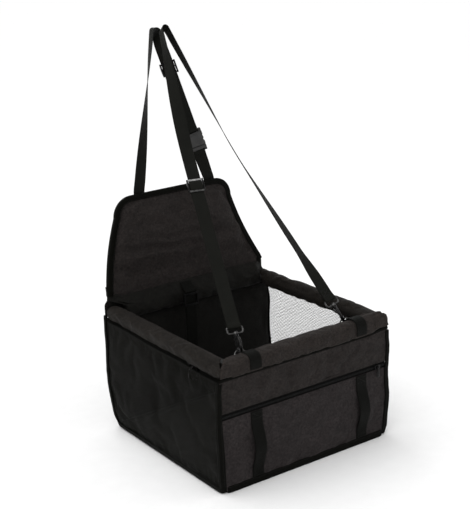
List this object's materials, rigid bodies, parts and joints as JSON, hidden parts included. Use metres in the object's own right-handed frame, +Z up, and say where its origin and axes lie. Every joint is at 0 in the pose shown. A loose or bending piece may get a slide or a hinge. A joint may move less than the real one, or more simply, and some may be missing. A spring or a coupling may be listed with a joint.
{
  "type": "pet booster chair",
  "caption": "Soft box chair for a small pet with padded tube rims, net sides, a folding backrest, a zipped front pocket and adjustable straps with swivel snap hooks.",
  "frame": {"origin": "on the ground, midway between the side panels and midway between the front and back panels", "axes": "+Z up, the pocket side faces -Y, +X to the right as seen from the front"},
  "size_m": [0.4, 0.4947, 0.8081],
  "materials": {
    "binding": "ribbed tape",
    "board": "plain",
    "lining": "matt woven",
    "metal": "polished dark",
    "net": "open net",
    "oxford": "matt woven",
    "plastic": "satin",
    "tube": "plain",
    "webbing": "ribbed webbing",
    "zip": "coil zip"
  },
  "bodies": {
    "box": {"back_hem": "binding", "back_wall_pad": "lining", "base_board": "board", "bottom_cover": "oxford", "floor_pad": "oxford", "frame_elbow_back_left": "tube", "frame_elbow_back_right": "tube", "frame_elbow_front_left": "tube", "frame_elbow_front_right": "tube", "frame_tube_back": "tube", "frame_tube_front": "tube", "frame_tube_left": "tube", "frame_tube_right": "tube", "front_hem": "binding", "front_strap": "webbing", "front_upper_panel": "oxford", "front_wall_pad": "lining", "hook_eye_left": "metal", "hook_eye_right": "metal", "pocket_band_left": "webbing", "pocket_band_right": "webbing", "pocket_panel": "oxford", "rim_sleeve_back": "lining", "rim_sleeve_front": "oxford", "rim_sleeve_left": "oxford", "rim_sleeve_right": "oxford", "ring_tab_left": "webbing", "ring_tab_right": "webbing", "side_binding_left": "binding", "side_binding_right": "binding", "side_net_left": "net", "side_net_right": "net", "zip_coil": "zip", "zip_tape": "zip"},
    "backrest": {"backrest_pad": "oxford", "backrest_binding": "binding", "backrest_stiffener": "board", "headrest_strap": "webbing", "headrest_strap_tail": "webbing", "buckle_socket": "plastic", "buckle_plug": "plastic"},
    "buckle_arm_left": {"buckle_arm_left": "plastic"},
    "buckle_arm_right": {"buckle_arm_right": "plastic"},
    "headrest_glide": {"headrest_strap_glide": "plastic"},
    "front_glide": {"front_strap_glide": "plastic"},
    "zip_slider": {"zip_slider": "metal"},
    "zip_pull": {"zip_pull": "metal"},
    "ring_left": {"d_ring_left": "metal"},
    "ring_right": {"d_ring_right": "metal"},
    "snap_left": {"snap_left_hook": "metal"},
    "snap_left_gate": {"snap_left_gate": "metal"},
    "snap_right": {"snap_right_hook": "metal"},
    "snap_right_gate": {"snap_right_gate": "metal"},
    "tether": {"tether_strap": "webbing", "tether_eye": "metal"},
    "tether_glide": {"tether_glide": "plastic"},
    "tether_hook": {"tether_hook": "metal"},
    "tether_gate": {"tether_gate": "metal"}
  },
  "joints": [
    {"name": "backrest_fold", "type": "hinge", "parent": "box", "child": "backrest", "pos_m": [0, 0.189, 0.2893], "axis": [1, 0, 0], "range_deg": [-25, 100]},
    {"name": "buckle_arm_left_squeeze", "type": "hinge", "parent": "backrest", "child": "buckle_arm_left", "pos_m": [0.05698, 0.24723, 0.54119], "axis": [0.3404, 0.9401, -0.0196], "range_deg": [0, 16], "stiffness_Nm_per_rad": 0.4},
    {"name": "buckle_arm_right_squeeze", "type": "hinge", "parent": "backrest", "child": "buckle_arm_right", "pos_m": [0.07679, 0.2402, 0.5477], "axis": [-0.3404, -0.9401, 0.0196], "range_deg": [0, 16], "stiffness_Nm_per_rad": 0.4},
    {"name": "headrest_glide_slide", "type": "slide", "parent": "backrest", "child": "headrest_glide", "axis": [-0.2718, 0.1183, 0.955], "range_m": [-0.1, 0.02], "deforming": ["headrest_strap"]},
    {"name": "front_glide_slide", "type": "slide", "parent": "box", "child": "front_glide", "axis": [0.1655, 0.6109, 0.7743], "range_m": [-0.2, 0.02], "deforming": ["front_strap"]},
    {"name": "zip_slide", "type": "slide", "parent": "box", "child": "zip_slider", "axis": [-1, 0, 0], "range_m": [0, 0.354]},
    {"name": "zip_pull_swing", "type": "hinge", "parent": "zip_slider", "child": "zip_pull", "pos_m": [0.177, -0.1982, 0.154], "axis": [-1, 0, 0], "range_deg": [-8, 150]},
    {"name": "ring_left_rock", "type": "hinge", "parent": "box", "child": "ring_left", "pos_m": [-0.12, -0.1553, 0.2365], "axis": [1, 0, 0], "range_deg": [-4, 6]},
    {"name": "ring_right_rock", "type": "hinge", "parent": "box", "child": "ring_right", "pos_m": [0.136, -0.1553, 0.2365], "axis": [1, 0, 0], "range_deg": [-4, 6]},
    {"name": "snap_left_swivel", "type": "hinge", "parent": "box", "child": "snap_left", "pos_m": [-0.11133, -0.12329, 0.27707], "axis": [0.1655, 0.6109, 0.7743], "range_deg": [-20, 20]},
    {"name": "snap_left_gate_open", "type": "hinge", "parent": "snap_left", "child": "snap_left_gate", "pos_m": [-0.1117, -0.12438, 0.26587], "axis": [-0.9676, 0.2522, 0.0078], "range_deg": [0, 22], "stiffness_Nm_per_rad": 0.02},
    {"name": "snap_right_swivel", "type": "hinge", "parent": "box", "child": "snap_right", "pos_m": [0.12629, -0.12321, 0.27684], "axis": [-0.1851, 0.6118, 0.7691], "range_deg": [-20, 20]},
    {"name": "snap_right_gate_open", "type": "hinge", "parent": "snap_right", "child": "snap_right_gate", "pos_m": [0.12843, -0.12408, 0.26582], "axis": [-0.9806, -0.0636, -0.1854], "range_deg": [0, 22], "stiffness_Nm_per_rad": 0.02},
    {"name": "tether_swing", "type": "hinge", "parent": "box", "child": "tether", "pos_m": [-0.022, 0.159, 0.26468], "axis": [-1, 0, 0], "range_deg": [0, 60]},
    {"name": "tether_glide_slide", "type": "slide", "parent": "tether", "child": "tether_glide", "axis": [0, 0, 1], "range_m": [-0.06, 0], "deforming": ["tether_strap"]},
    {"name": "tether_swivel", "type": "hinge", "parent": "tether", "child": "tether_hook", "pos_m": [-0.022, 0.1599, 0.10468], "axis": [0, 0, 1], "continuous": true},
    {"name": "tether_gate_open", "type": "hinge", "parent": "tether_hook", "child": "tether_gate", "pos_m": [-0.0158, 0.1599, 0.09528], "axis": [0, 1, 0], "range_deg": [0, 22], "stiffness_Nm_per_rad": 0.02}
  ]
}
